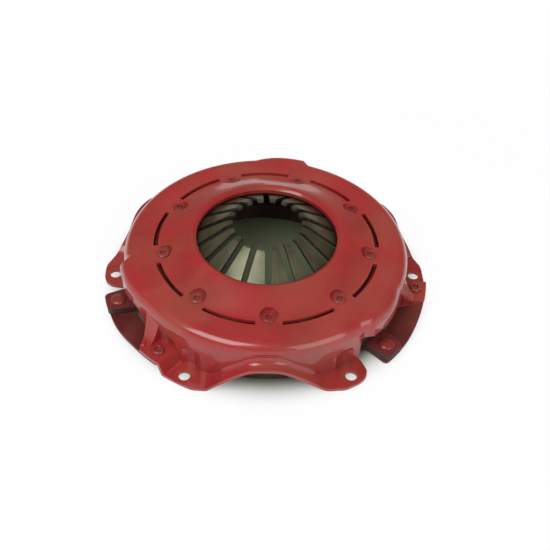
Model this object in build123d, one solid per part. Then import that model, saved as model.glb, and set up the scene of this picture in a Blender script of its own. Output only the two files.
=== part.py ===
from build123d import *
from math import cos, degrees, hypot, radians, sin, tan
import os

# Clutch pressure plate of the diaphragm type, in mm.
# Origin: centre of the bolt circle, on the underside of the six feet. +Z points to the release bearing.
# Azimuth 0 looks along -Y and grows towards +X. The cover repeats every 120 degrees.
repeats = 3
pitch = 360 / repeats
tiny = 0.01

# Cover bolts
bolt_circle_r = 146.0
bolt_azimuth = 30.0
bolt_hole_r = 5.15
bolt_seat_r = 10.5
bolt_seat_depth = 0.5

# Stamped cover
sheet = 3.2
wall_foot_r = 135.6
wall_top_r = 134.0
crown_z = 47.4
crown_r = 11.0
ledge_z = 46.2
ledge_outer_r = 109.0
ledge_inner_r = 100.5
rim_z = 58.4
rim_r = 70.5
rim_roll_r = 4.5
rim_drop = 4.0
rim_drop_run = 5.5
opening_r = 66.3

# Bulge that clears each lug
bulge_out = 4.5
bulge_up = 1.4
bulge_inner_r = 112.0
bulge_sink = 0.7
bulge_stations = [
    (38.4, -bulge_sink, -bulge_sink),
    (42.0, bulge_out, bulge_up),
    (48.0, bulge_out, bulge_up),
    (54.0, bulge_out * 0.85, bulge_up * 0.9),
    (60.0, bulge_out * 0.4, bulge_up * 0.5),
    (66.0, -bulge_sink, -bulge_sink),
]

# Flange, feet and arches
foot_r = 156.0
pad_edge_r = 155.4
lip_r = 139.8
arch_height = 21.2
arch_flat = 11.0
arch_run = 32.0
arch_top_fillet = 26.0
arch_foot_fillet = 14.0
foot_start = 20.3
foot_end = 37.2
foot_corner_r = 9.5
foot_root_r = 9.0
wrench_r = 15.0
wrench_z = 27.0

# Windows for the lugs and straps
window_top_z = 29.0
window_corner = 8.0
window_centre = 54.0
pad_edge_inner = (131.0, 66.2)
pad_edge_outer = (153.0, 72.7)
window_drop_x = (14.0, 29.0)

# Strap pads on the cover
strap_circle_r = 144.8
pad_azimuth = -41.7
pad_z = 14.4
pad_riser_start = 11.0
pad_riser_end = 15.5
web_height = 17.0
web_foot = 1.4
web_run = 11.0

# Arc slots over the pivot ring
slot_inner_r = 102.2
slot_outer_r = 106.4
slot_sweep = 27.0

# Diaphragm spring
fingers = 18
spring_t = 2.8
pivot_r = 104.3
spring_outer_r = 125.5
spring_angle = 12.5
bend_r = 73.0
finger_angle = 34.0
bend_fillet = 14.0
tip_bend_r = 37.0
tip_r = 32.0
tip_angle = 15.0
tip_fillet = 6.0
finger_slot = 6.0
sector_gap = 0.3
keyhole_r = 7.0

# Pivot rings and shoulder rivets
ring_wire_r = 2.0
ring_seat_gap = 0.1
ring_spring_gap = 0.65
ring_split = 1.2
shoulder_rivets = 9
rivet_circle_r = 97.8
shank_r = 4.0
shank_clearance = 0.1
rivet_head_r = 6.2
rivet_head_h = 1.7
rivet_crater_r = 2.8
rivet_crater_depth = 2.4
rivet_seat_r = 8.6
rivet_tail_r = 8.0
rivet_tail_h = 3.0

# Pressure plate casting
face_z = 1.2
plate_inner_r = 88.0
plate_outer_r = 128.5
plate_relief_gap = 1.2
plate_back_z = 18.5
land_r = 123.0
land_width = 5.0
land_foot_width = 10.5
land_gap = 0.3
land_slot_width = 21.0
lug_azimuth = 47.6
lug_z = 11.6
lug_t = 7.0
lug_r = 156.0
lug_root_width = 29.0
lug_end_width = 21.0
lug_corner_r = 5.0

# Drive straps
leaves = 3
leaf_t = 0.9
strap_inner_r = 131.8
strap_outer_r = 155.0
strap_lug_end = 4.6
strap_pad_end = 3.2
strap_bend_x = 18.0
strap_bend_r = 40.0
strap_rivet_head_r = 5.9
strap_rivet_head_h = 3.0
lug_rivet_head_r = 7.2
lug_rivet_head_h = 3.1
tail_r = 6.4
tail_h = 1.5

# Values that follow from those above
ring_offset = spring_t / 2 + ring_wire_r + ring_spring_gap
upper_ring_z = ledge_z - sheet - ring_seat_gap - ring_wire_r
spring_z = upper_ring_z - ring_offset
lower_ring_z = spring_z - ring_offset
tail_top_z = lower_ring_z - ring_wire_r - ring_seat_gap
floor_z = -30.0
outside_r = 190.0


def polar(r, azimuth, z=0.0):
    """Point at a radius and azimuth."""
    a = radians(azimuth)
    return Vector(r * sin(a), -r * cos(a), z)


def turned(shape, azimuth):
    """Shape built at azimuth 0, turned to another azimuth."""
    return Rot(0, 0, azimuth) * shape


def cylinder(r, z0, z1, centre=(0, 0)):
    """Upright cylinder between two heights."""
    height = z1 - z0
    return Pos(centre[0], centre[1], z0) * Cylinder(r, height, align=(Align.CENTER, Align.CENTER, Align.MIN))


def plan_prism(points, z0, z1):
    """Upright prism on a plan outline."""
    face = Plane.XY.offset(z0) * make_face(Polyline(*points, close=True))
    return extrude(face, z1 - z0, dir=(0, 0, 1))


def wedge(start, end, z0, z1, inner=0.0, outer=outside_r):
    """Sector of a disc or ring between two azimuths, up to 180 degrees wide."""
    steps = 4
    span = [start + (end - start) * i / steps for i in range(steps + 1)]
    reach = outer / cos(radians((end - start) / steps / 2))
    rim = [polar(reach, a) for a in span]
    sector = plan_prism([(0, 0)] + [(p.X, p.Y) for p in rim], z0, z1)
    sector = sector & cylinder(outer, z0, z1)
    return sector - cylinder(inner, z0 - 1, z1 + 1) if inner else sector


def side_prism(points, radii, near, far):
    """Prism that runs outwards at azimuth 0, from a tangential and upright outline."""
    path = FilletPolyline(*points, radius=radii, close=True) if radii else Polyline(*points, close=True)
    face = Plane((0, -near, 0), x_dir=(1, 0, 0), z_dir=(0, -1, 0)) * make_face(path)
    return extrude(face, far - near, dir=(0, -1, 0))


def offset_points(points, distance):
    """Open polyline moved sideways by a distance, to the left of its direction."""
    out = []
    last = len(points) - 1
    for i, (x, y) in enumerate(points):
        a = points[max(i - 1, 0)]
        b = points[min(i + 1, last)]
        before = points[i] if i == 0 else a
        after = points[i] if i == last else b
        first = (x - before[0], y - before[1]) if i else (after[0] - x, after[1] - y)
        second = (after[0] - x, after[1] - y) if i < last else first
        n1 = (-first[1] / hypot(*first), first[0] / hypot(*first))
        n2 = (-second[1] / hypot(*second), second[0] / hypot(*second))
        scale = distance / (1 + n1[0] * n2[0] + n1[1] * n2[1])
        out.append((x + (n1[0] + n2[0]) * scale, y + (n1[1] + n2[1]) * scale))
    return out


def strip_face(points, radii, thickness):
    """Face of even thickness along a path with rounded bends, in its own plane."""
    def side(distance):
        line = offset_points(points, distance)
        turned_radii = []
        for i, r in enumerate(radii):
            (ax, ay), (bx, by), (cx, cy) = points[i:i + 3]
            left = (bx - ax) * (cy - by) - (by - ay) * (cx - bx) > 0
            turned_radii.append(r - distance if left else r + distance)
        return FilletPolyline(*line, radius=turned_radii)
    top = side(thickness / 2)
    bottom = side(-thickness / 2)
    ends = [Line(top @ 0, bottom @ 0), Line(top @ 1, bottom @ 1)]
    return make_face([top, bottom] + ends)


def ring_of(face):
    """Solid turned from a face drawn as radius and height."""
    return revolve(Plane.XZ * face, Axis.Z)


# Cover

def dome_face(out=0.0, up=0.0):
    """Section of the space under the outer skin of the cover."""
    corners = [
        (0, floor_z),
        (wall_foot_r + out, floor_z),
        (wall_top_r + out, crown_z + up),
        (ledge_outer_r, ledge_z + up),
        (ledge_inner_r, ledge_z + up),
        (rim_r, rim_z + up),
        (rim_r - rim_drop_run, rim_z + up - rim_drop),
        (0, rim_z + up - rim_drop),
    ]
    radii = [0, 0, crown_r, 30, 8, rim_roll_r, 0, 0]
    return make_face(FilletPolyline(*corners, radius=radii, close=True))


def dome(inset):
    """Space under the outer skin, or under the inner skin one sheet inside it."""
    face = dome_face()
    return ring_of(offset(face, -inset) if inset else face)


def bulge_section(azimuth, out, up, inset):
    """Section of the space under a bulge at one azimuth."""
    corners = [
        (bulge_inner_r, floor_z),
        (wall_foot_r + out, floor_z),
        (wall_top_r + out, crown_z + up),
        (bulge_inner_r, crown_z - 0.8 + up),
    ]
    face = make_face(FilletPolyline(*corners, radius=[0, 0, crown_r, 0], close=True))
    lowered = offset(face, -inset) if inset else face
    return turned(Plane.XZ * lowered, azimuth - 90)


def bulge(inset):
    """Swelling of the crown over a lug, stepped at its start and fading at its end."""
    shift = degrees(inset / wall_top_r)
    stations = [(azimuth + (shift if i < 2 else 0), out, up) for i, (azimuth, out, up) in enumerate(bulge_stations)]
    sections = [bulge_section(azimuth, out, up, inset) for azimuth, out, up in stations]
    return loft(sections[:2], ruled=True) + loft(sections[1:])


def arch(inset):
    """Space under the flange of one sector: flat at the feet, arched between them."""
    rise = [
        (-outside_r, 0), (-arch_flat - arch_run, 0), (-arch_flat, arch_height),
        (arch_flat, arch_height), (arch_flat + arch_run, 0), (outside_r, 0),
    ]
    line = offset_points(rise, sheet - inset)
    grow = sheet - inset
    radii = [arch_foot_fillet - grow, arch_top_fillet + grow, arch_top_fillet + grow, arch_foot_fillet - grow]
    top = FilletPolyline(*line, radius=radii)
    floor = Polyline(line[-1], (outside_r, floor_z), (-outside_r, floor_z), line[0])
    near = 50
    face = Plane((0, -near, 0), x_dir=(1, 0, 0), z_dir=(0, -1, 0)) * make_face([top, floor])
    body = extrude(face, outside_r - near, dir=(0, -1, 0))
    return body & wedge(-pitch / 2, pitch / 2, floor_z, 60, inner=near)


def pad(inset):
    """Space under a raised strap pad, which steps down to the foot beside it."""
    line = [(-60, pad_z), (pad_riser_start, pad_z), (pad_riser_end, sheet), (pad_riser_end + 6, sheet)]
    line = offset_points(line, -inset)
    outline = line + [(line[-1][0], floor_z), (line[0][0], floor_z)]
    body = side_prism(outline, None, 118, outside_r)
    return turned(body, pad_azimuth)


def wrench_pocket(azimuth, r, inset):
    """Scallop in the wall that leaves room for a socket."""
    at = polar(r, azimuth)
    grown = wrench_r + inset
    top = wrench_z + inset
    post = cylinder(grown, -10, top, (at.X, at.Y))
    return fillet(post.edges().group_by(Axis.Z)[-1], grown * 0.45)


def pocket_places():
    """Azimuth and radius of the bolts and the strap rivet under the wrench pockets of one sector."""
    return (-bolt_azimuth, bolt_circle_r), (bolt_azimuth, bolt_circle_r), (pad_azimuth, strap_circle_r)


def outline_prism():
    """Plan outline of the feet, pads and lips."""
    z0, z1 = -5, 100
    shape = cylinder(lip_r, z0, z1)
    for k in range(repeats):
        for start, end, r in (
            (foot_start, foot_end, foot_r),
            (pad_azimuth - 12, -foot_start, pad_edge_r),
        ):
            shape = shape + turned(wedge(start, end, z0, z1, lip_r - 20, r), k * pitch)

    def uprights(low, high):
        edges = shape.edges().filter_by(Axis.Z)
        return [e for e in edges if low < hypot(e.center().X, e.center().Y) < high]

    shape = fillet(uprights(pad_edge_r - 1, foot_r + 1), foot_corner_r)
    shape = fillet(uprights(lip_r - 1, lip_r + 1), foot_root_r)
    return shape


def window():
    """Space cut from the skirt for a lug and its straps."""
    start = polar(1, foot_end)
    a = polar(*pad_edge_inner)
    b = polar(*pad_edge_outer)
    along = (b - a).normalized()
    near = a - along * 40
    far = b + along * 40
    plan = [
        (start.X * 100, start.Y * 100),
        (start.X * outside_r, start.Y * outside_r),
        (polar(outside_r, window_centre).X, polar(outside_r, window_centre).Y),
        (far.X, far.Y),
        (near.X, near.Y),
    ]
    cut = plan_prism(plan, floor_z, window_top_z)
    drop = [
        (-70, floor_z), (-70, window_top_z), (window_drop_x[0], window_top_z),
        (window_drop_x[1], pad_z + tiny), (70, pad_z + tiny), (70, floor_z),
    ]
    side = side_prism(drop, [0, 0, window_corner, 4, 0, 0], 100, outside_r)
    return cut & turned(side, window_centre)


def pad_web():
    """Upstand along the window edge of a strap pad, curving up into the wall."""
    a = polar(*pad_edge_inner)
    b = polar(*pad_edge_outer)
    along = (b - a).normalized()
    across = Vector(0, 0, 1).cross(along)
    start = a + along * 2.5
    base = pad_z - sheet
    run = (b - start).length - 1.0
    line = [(0, base), (run, base), (run, pad_z + web_foot), (web_run, pad_z + web_foot), (0, pad_z + web_height)]
    face = make_face(FilletPolyline(*line, radius=[0, 0, 1, 14, 0], close=True))
    return extrude(Plane(start, x_dir=along, z_dir=-across) * face, sheet, dir=across)


def arc_slot(azimuth):
    """Curved slot through the ledge over the pivot ring."""
    half = slot_sweep / 2
    body = wedge(azimuth - half, azimuth + half, ledge_z - 8, ledge_z + 8, slot_inner_r, slot_outer_r)
    return body


def cover():
    """Stamped cover: one sheet with rim, crown, bulges, skirt, arches, pads and feet."""
    skins = []
    for inset in (0.0, sheet):
        body = dome(inset)
        for k in range(repeats):
            body = body + turned(bulge(inset), k * pitch)
        for k in range(repeats):
            body = body + turned(arch(inset), k * pitch) + turned(pad(inset), k * pitch)
        for (azimuth, r), seat_z in zip(pocket_places(), (sheet, sheet, pad_z)):
            pocket = pocket_above(azimuth, r, inset, seat_z)
            for k in range(repeats):
                body = body - turned(pocket, k * pitch)
        for k in range(shoulder_rivets):
            at = polar(rivet_circle_r, k * 360 / shoulder_rivets)
            body = body - cylinder(rivet_seat_r + inset, ledge_z - inset, rim_z, (at.X, at.Y))
        skins.append(body)
    shell = (skins[0] & outline_prism()) - skins[1]
    shell = shell - cylinder(opening_r, floor_z, rim_z + 10)
    for k in range(repeats):
        shell = shell - turned(window(), k * pitch)
    for k in range(repeats):
        shell = shell + turned(pad_web(), k * pitch)
    shell = shell - holes_in_cover()
    return shell


def pocket_above(azimuth, r, inset, seat_z):
    """Part of a wrench pocket that lies above its seat."""
    seat = seat_z - inset
    return wrench_pocket(azimuth, r, inset) & Pos(0, 0, seat) * Box(
        400, 400, 100, align=(Align.CENTER, Align.CENTER, Align.MIN)
    )


def holes_in_cover():
    """Bolt holes with coined seats, rivet holes and arc slots."""
    cuts = []
    for k in range(2 * repeats):
        at = polar(bolt_circle_r, bolt_azimuth + k * pitch / 2)
        cuts.append(cylinder(bolt_hole_r, -5, 10, (at.X, at.Y)))
        cuts.append(cylinder(bolt_seat_r, sheet - bolt_seat_depth, sheet + 6, (at.X, at.Y)))
    for k in range(repeats):
        at = polar(strap_circle_r, pad_azimuth + k * pitch)
        cuts.append(cylinder(shank_r + shank_clearance, pad_z - 8, pad_z + 4, (at.X, at.Y)))
    for k in range(shoulder_rivets):
        azimuth = k * 360 / shoulder_rivets
        at = polar(rivet_circle_r, azimuth)
        cuts.append(cylinder(shank_r + shank_clearance, ledge_z - 9, ledge_z + 9, (at.X, at.Y)))
        cuts.append(arc_slot(azimuth + 180 / shoulder_rivets))
    body = cuts[0]
    for cut in cuts[1:]:
        body = body + cut
    return body


# Diaphragm spring

def spring_ring():
    """Full cone of the spring with its bent fingers, before slotting."""
    down = tan(radians(spring_angle))
    up = tan(radians(finger_angle))
    at_bend = spring_z + (pivot_r - bend_r) * down
    at_tip_bend = at_bend + (bend_r - tip_bend_r) * up
    at_tip = at_tip_bend + (tip_bend_r - tip_r) * tan(radians(tip_angle))
    at_edge = spring_z - (spring_outer_r - pivot_r) * down
    path = [(spring_outer_r, at_edge), (bend_r, at_bend), (tip_bend_r, at_tip_bend), (tip_r, at_tip)]
    return ring_of(strip_face(path, [bend_fillet, tip_fillet], spring_t))


def finger_plan():
    """Plan of the finger between azimuths 0 and one finger pitch."""
    step = 360 / fingers
    reach = spring_outer_r + 10
    z0, z1 = 0, 100
    body = wedge(0, step, z0, z1, 0, reach)
    for azimuth in (0, step):
        slot = Box(finger_slot, rivet_circle_r, z1 - z0, align=(Align.CENTER, Align.MAX, Align.MIN))
        slit = Box(sector_gap, reach, z1 - z0, align=(Align.CENTER, Align.MAX, Align.MIN))
        hole = cylinder(keyhole_r, z0, z1, (0, -rivet_circle_r))
        body = body - turned(slot + slit + hole, azimuth)
    return body


def finger():
    """One finger with its share of the outer ring."""
    return spring_ring() & finger_plan()


# Pivot rings and rivets

def pivot_ring(z):
    """Wire ring with a small split."""
    ring = Pos(0, 0, z) * Torus(pivot_r, ring_wire_r)
    split = turned(Pos(0, -pivot_r, z) * Box(ring_split, 10, 10), 180 / fingers)
    return ring - split


def rivet(head_r, head_h, seat_z, shank_end_z, foot_r, foot_h, crater=0.0):
    """Rivet on the Z axis: domed or cratered head above its seat, shank, and a formed tail."""
    head = cylinder(head_r, seat_z, seat_z + head_h)
    head = chamfer(head.edges().group_by(Axis.Z)[-1], head_h * 0.45)
    body = head + cylinder(shank_r, shank_end_z, seat_z)
    tail = cylinder(foot_r, shank_end_z - foot_h, shank_end_z)
    body = body + chamfer(tail.edges().group_by(Axis.Z)[0], foot_h * 0.35)
    if crater:
        top = seat_z + head_h
        body = body - cylinder(crater, top - rivet_crater_depth, top + 1)
    return body


def shoulder_rivet_group():
    """Rivets that carry both pivot rings under the cover."""
    one = rivet(rivet_head_r, rivet_head_h, ledge_z, tail_top_z, rivet_tail_r, rivet_tail_h, rivet_crater_r)
    step = 360 / shoulder_rivets
    return [turned(Pos(0, -rivet_circle_r, 0) * one, k * step) for k in range(shoulder_rivets)]


# Casting

def spring_underside(r):
    """Height of the spring's lower skin outside the pivot."""
    drop = (r - pivot_r) * tan(radians(spring_angle))
    return spring_z - drop - spring_t / 2 / cos(radians(spring_angle))


def casting():
    """Cast ring with a friction face, an interrupted land and three lugs."""
    land_z = spring_underside(land_r) - land_gap
    foot = land_foot_width / 2
    top = land_width / 2
    corners = [
        (plate_inner_r, face_z), (plate_outer_r, face_z), (plate_outer_r, plate_back_z - 3),
        (land_r + foot, plate_back_z), (land_r + top, land_z - 1), (land_r, land_z),
        (land_r - top, land_z - 1), (land_r - foot, plate_back_z), (plate_inner_r, plate_back_z),
    ]
    radii = [0, 0, 1.5, 2, 1.5, 3, 1.5, 3, 2]
    body = ring_of(make_face(FilletPolyline(*corners, radius=radii, close=True)))
    cut_z = plate_back_z + 2
    for k in range(fingers):
        slot = Pos(0, -land_r, cut_z) * Box(
            land_slot_width, 30, 40, align=(Align.CENTER, Align.CENTER, Align.MIN)
        )
        body = body - turned(slot, k * 360 / fingers)
    for k in range(repeats):
        for azimuth, r in pocket_places():
            at = polar(r, azimuth + k * pitch)
            relief = cylinder(wrench_r + sheet + plate_relief_gap, face_z - 1, land_z + 1, (at.X, at.Y))
            body = body - relief
        body = body + turned(lug(), lug_azimuth + k * pitch)
    return body


def lug():
    """Lug that reaches through a window, with its rivet hole."""
    root = plate_outer_r - 8
    w0 = lug_root_width / 2
    w1 = lug_end_width / 2
    plan = [(-w0, -root), (w0, -root), (w1, -lug_r), (-w1, -lug_r)]
    body = plan_prism(plan, lug_z - lug_t, lug_z)
    tips = [e for e in body.edges().filter_by(Axis.Z) if e.center().Y < -lug_r + 1]
    body = fillet(tips, lug_corner_r)
    hole = cylinder(shank_r + shank_clearance, lug_z - lug_t - 1, lug_z + 1, (0, -strap_circle_r))
    return body - hole


# Drive straps

def strap_ends():
    """Azimuths of the lug rivet and the pad rivet of one strap pack."""
    return lug_azimuth, pad_azimuth + pitch


def leaf(level):
    """One strap leaf, counted down from the lug and the pad."""
    start, end = strap_ends()
    middle = (start + end) / 2
    lug_under = lug_z - lug_t
    pad_under = pad_z - sheet

    def skin(drop):
        path = [(-60, lug_under), (-strap_bend_x, lug_under), (strap_bend_x, pad_under), (60, pad_under)]
        path = [(x, z - drop) for x, z in path]
        return FilletPolyline(*path, radius=[strap_bend_r, strap_bend_r])

    top = skin(level * leaf_t)
    bottom = skin((level + 1) * leaf_t)
    face = make_face([top, bottom, Line(top @ 0, bottom @ 0), Line(top @ 1, bottom @ 1)])
    plane = Plane((0, -110, 0), x_dir=(1, 0, 0), z_dir=(0, -1, 0))
    wave = turned(extrude(plane * face, 60, dir=(0, -1, 0)), middle)
    z0, z1 = -5, 20
    plan = wedge(start - strap_lug_end, end + strap_pad_end, z0, z1, strap_inner_r, strap_outer_r)
    plan = fillet(plan.edges().filter_by(Axis.Z), 4)
    body = wave & plan
    for azimuth in (start, end):
        at = polar(strap_circle_r, azimuth)
        body = body - cylinder(shank_r + shank_clearance, z0, z1, (at.X, at.Y))
    return body


def strap_rivets(azimuth, seat_z, under_z, head_r, head_h, crater):
    """Three rivets through the strap packs at one end."""
    one = rivet(head_r, head_h, seat_z, under_z - leaves * leaf_t, tail_r, tail_h, crater)
    return [turned(Pos(0, -strap_circle_r, 0) * one, azimuth + k * pitch) for k in range(repeats)]


def save(name, shape):
    """Write one node."""
    solids = shape if isinstance(shape, list) else shape.solids()
    export_step(Compound(children=list(solids)) if len(solids) > 1 else solids[0], f"parts/{name}.step")


def main():
    os.makedirs("parts", exist_ok=True)
    save("cover", cover())
    save("pressure_plate", casting())
    save("upper_pivot_ring", pivot_ring(upper_ring_z))
    save("lower_pivot_ring", pivot_ring(lower_ring_z))
    save("shoulder_rivets", shoulder_rivet_group())
    one = finger()
    for k in range(fingers):
        save(f"diaphragm_finger_{k + 1:02d}", turned(one, k * 360 / fingers))
    for k in range(repeats):
        for level in range(leaves):
            save(f"drive_strap_{k + 1}_leaf_{level + 1}", turned(leaf(level), k * pitch))
    pad_rivets = strap_rivets(
        pad_azimuth, pad_z, pad_z - sheet, strap_rivet_head_r, strap_rivet_head_h, rivet_crater_r
    )
    lug_rivets = strap_rivets(lug_azimuth, lug_z, lug_z - lug_t, lug_rivet_head_r, lug_rivet_head_h, 0.0)
    save("strap_cover_rivets", pad_rivets)
    save("strap_lug_rivets", lug_rivets)


main()
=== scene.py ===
"""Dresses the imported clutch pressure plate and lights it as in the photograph."""
import bisect
import logging
import math
from collections.abc import Iterable
from dataclasses import dataclass, field
from enum import Enum

import bmesh
import bpy
from mathutils import Matrix, Vector

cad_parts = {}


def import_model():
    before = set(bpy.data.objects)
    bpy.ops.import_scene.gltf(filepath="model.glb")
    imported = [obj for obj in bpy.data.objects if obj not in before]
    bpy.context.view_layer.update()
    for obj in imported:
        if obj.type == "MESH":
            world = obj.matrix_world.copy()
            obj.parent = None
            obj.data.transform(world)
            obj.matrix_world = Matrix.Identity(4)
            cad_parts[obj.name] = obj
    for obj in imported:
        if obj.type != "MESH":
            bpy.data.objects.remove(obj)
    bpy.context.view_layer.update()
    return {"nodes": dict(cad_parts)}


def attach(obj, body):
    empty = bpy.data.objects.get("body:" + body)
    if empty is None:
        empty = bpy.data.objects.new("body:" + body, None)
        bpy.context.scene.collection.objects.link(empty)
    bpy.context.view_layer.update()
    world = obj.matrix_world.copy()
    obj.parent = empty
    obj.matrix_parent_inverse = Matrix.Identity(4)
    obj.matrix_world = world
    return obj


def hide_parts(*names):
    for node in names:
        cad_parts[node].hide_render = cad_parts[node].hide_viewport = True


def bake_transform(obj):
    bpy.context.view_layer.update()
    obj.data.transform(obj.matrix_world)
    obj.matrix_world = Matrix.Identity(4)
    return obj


LOG = logging.getLogger("pressure_plate")
MM = 0.001
# Corners of a CAD mesh nearer than this are one corner.
MERGE = 0.002 * MM
SECTORS = 3
FINGERS = 18
LEAVES = 3
# Radius in metres on which streaks along the radius are spaced.
ARC_RADIUS = 0.1
# Most that a rivet is turned about its own axis, in radians.
MOST_TURN = 6.28
SEED = 7
COVER_BODY = "cover_assembly"
PLATE_BODY = "plate"
Colour = tuple[float, float, float]
Limits = tuple[float, float]


def polar(radius: float, azimuth: float, z: float = 0.0) -> Vector:
    """Point in the part's frame.

    Args:
        radius: distance from the clutch axis, in metres.
        azimuth: degrees from -Y towards +X.
        z: height in metres.

    Returns:
        The point as a vector.
    """
    a = math.radians(azimuth)
    return Vector((radius * math.sin(a), -radius * math.cos(a), z))


def linked(name: str, data: bpy.types.ID) -> bpy.types.Object:
    """New object with some data, linked to the scene."""
    made = bpy.data.objects.new(name, data)
    bpy.context.scene.collection.objects.link(made)
    return made


class Slot(Enum):
    """Material slots of the record."""

    RED_PAINT = "red_paint"
    PAINTED_RIVET = "painted_rivet"
    PAINTED_STRAP = "painted_strap"
    CAST_IRON = "cast_iron"
    SPRING_STEEL = "spring_steel"
    WIRE_STEEL = "wire_steel"


class Axis(Enum):
    """How a streak pattern runs on a surface."""

    ROUND = "round"
    RADIAL = "radial"


class Graph:
    """Small wrapper that adds and links nodes in one tree."""

    def __init__(self, tree: bpy.types.NodeTree) -> None:
        """Keeps the tree and clears it."""
        self.tree = tree
        tree.nodes.clear()

    def add(
        self, kind: str, inputs: dict[str | int, object] | None = None, **settings: object,
    ) -> bpy.types.Node:
        """Adds a node.

        Args:
            kind: the node's type name.
            inputs: values or sockets for its inputs, by name or number.
            settings: plain attributes of the node.

        Returns:
            The new node.
        """
        node = self.tree.nodes.new(kind)
        for key, value in settings.items():
            setattr(node, key, value)
        for key, value in (inputs or {}).items():
            if isinstance(value, bpy.types.NodeSocket):
                self.tree.links.new(value, node.inputs[key])
            else:
                node.inputs[key].default_value = value
        return node

    def math(self, operation: str, *values: object) -> bpy.types.NodeSocket:
        """Adds a Math node and returns its result."""
        node = self.add("ShaderNodeMath", dict(enumerate(values)), operation=operation)
        return node.outputs[0]

    def ramp(self, value: bpy.types.NodeSocket, low: float, high: float) -> bpy.types.NodeSocket:
        """Smooth step of a value between two limits."""
        node = self.add(
            "ShaderNodeMapRange", {"Value": value, "From Min": low, "From Max": high},
            interpolation_type="SMOOTHSTEP",
        )
        return node.outputs["Result"]

    def noise(
        self, where: bpy.types.NodeSocket, scale: float, detail: float = 3.0,
    ) -> bpy.types.NodeSocket:
        """Noise value at a point."""
        node = self.add("ShaderNodeTexNoise", {"Vector": where, "Scale": scale, "Detail": detail})
        return node.outputs["Fac"]

    def place(self) -> bpy.types.NodeSocket:
        """Object coordinates."""
        return self.add("ShaderNodeTexCoord").outputs["Object"]

    def parts(self, vector: bpy.types.NodeSocket) -> list[bpy.types.NodeSocket]:
        """The three parts of a vector."""
        return list(self.add("ShaderNodeSeparateXYZ", {0: vector}).outputs)

    def upward(self) -> bpy.types.NodeSocket:
        """How far the surface faces up, from -1 to 1."""
        return self.parts(self.add("ShaderNodeNewGeometry").outputs["Normal"])[2]

    def distance(self, x: bpy.types.NodeSocket, y: bpy.types.NodeSocket) -> bpy.types.NodeSocket:
        """Distance from the clutch axis."""
        squares = (self.math("MULTIPLY", part, part) for part in (x, y))
        return self.math("SQRT", self.math("ADD", *squares))

    def mix(self, factor: object, first: object, second: object) -> bpy.types.NodeSocket:
        """Blend of two colours."""
        node = self.tree.nodes.new("ShaderNodeMix")
        node.data_type = "RGBA"
        sockets = [s for s in node.inputs if s.name in ("Factor", "A", "B")]
        chosen = [s for s in sockets if s.type == "RGBA"]
        fac = next(s for s in sockets if s.name == "Factor" and s.type == "VALUE")
        for socket, value in zip([fac] + chosen, (factor, first, second)):
            if isinstance(value, bpy.types.NodeSocket):
                self.tree.links.new(value, socket)
            else:
                socket.default_value = value if socket is fac else (*value, 1.0)
        return next(s for s in node.outputs if s.type == "RGBA")

    def polar_point(self, along_scale: float, axis: Axis) -> bpy.types.NodeSocket:
        """Coordinates that stretch a noise round the clutch axis or along the radius.

        Args:
            along_scale: how much finer the pattern is across its streaks than along them.
            axis: the way the streaks run.

        Returns:
            A vector socket with the radius and the arc as its first two parts.
        """
        x, y, z = self.parts(self.place())
        radius = self.distance(x, y)
        arc = self.math("MULTIPLY", self.math("ARCTAN2", x, y), ARC_RADIUS)
        fine, coarse = (radius, arc) if axis is Axis.ROUND else (arc, radius)
        fine = self.math("MULTIPLY", fine, along_scale)
        return self.add("ShaderNodeCombineXYZ", {0: fine, 1: coarse, 2: z}).outputs[0]


@dataclass(frozen=True)
class Finish:
    """A surface finish with a base colour, a second tone and a fine relief."""

    name: str
    colour: Colour
    tone: Colour
    roughness: float
    metallic: float = 0.0
    coat: float = 0.0
    specular: float = 0.5
    grain_scale: float = 900.0
    grain_detail: float = 4.0
    grain_depth: float = 0.02
    tone_scale: float = 30.0
    tone_limits: Limits = (0.35, 0.7)
    rougher: float = 0.08
    coat_roughness: float = 0.08

    def material(self) -> bpy.types.Material:
        """Makes the material of this finish."""
        made = bpy.data.materials.new(self.name)
        made.use_nodes = True
        graph = Graph(made.node_tree)
        shader = graph.add(
            "ShaderNodeBsdfPrincipled",
            {
                "Metallic": self.metallic, "Coat Weight": self.coat,
                "Coat Roughness": self.coat_roughness, "Specular IOR Level": self.specular,
            },
        )
        out = graph.add("ShaderNodeOutputMaterial")
        made.node_tree.links.new(shader.outputs[0], out.inputs[0])
        self.dress(graph, shader)
        made.diffuse_color = (*self.colour, 1.0)
        return made

    def dress(self, graph: Graph, shader: bpy.types.Node) -> None:
        """Adds colour, roughness and relief to the shader."""
        where = graph.place()
        patches = graph.ramp(graph.noise(where, self.tone_scale), *self.tone_limits)
        self.connect(graph, shader, graph.mix(patches, self.colour, self.tone), where, patches)

    def connect(
        self, graph: Graph, shader: bpy.types.Node, colour: bpy.types.NodeSocket,
        where: bpy.types.NodeSocket, patches: bpy.types.NodeSocket,
    ) -> None:
        """Links the colour, a varied roughness and a fine bump.

        Args:
            graph: the material's tree.
            shader: its principled shader.
            colour: the finished colour.
            where: coordinates for the relief.
            patches: the slow variation, which also drives the roughness.
        """
        grain = graph.noise(where, self.grain_scale, self.grain_detail)
        relief = {"Height": grain, "Strength": 1.0, "Distance": self.grain_depth * MM}
        bump = graph.add("ShaderNodeBump", relief)
        spread = graph.math("ADD", graph.math("MULTIPLY", patches, self.rougher), self.roughness)
        links = graph.tree.links
        links.new(colour, shader.inputs["Base Color"])
        links.new(spread, shader.inputs["Roughness"])
        links.new(bump.outputs[0], shader.inputs["Normal"])


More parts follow.
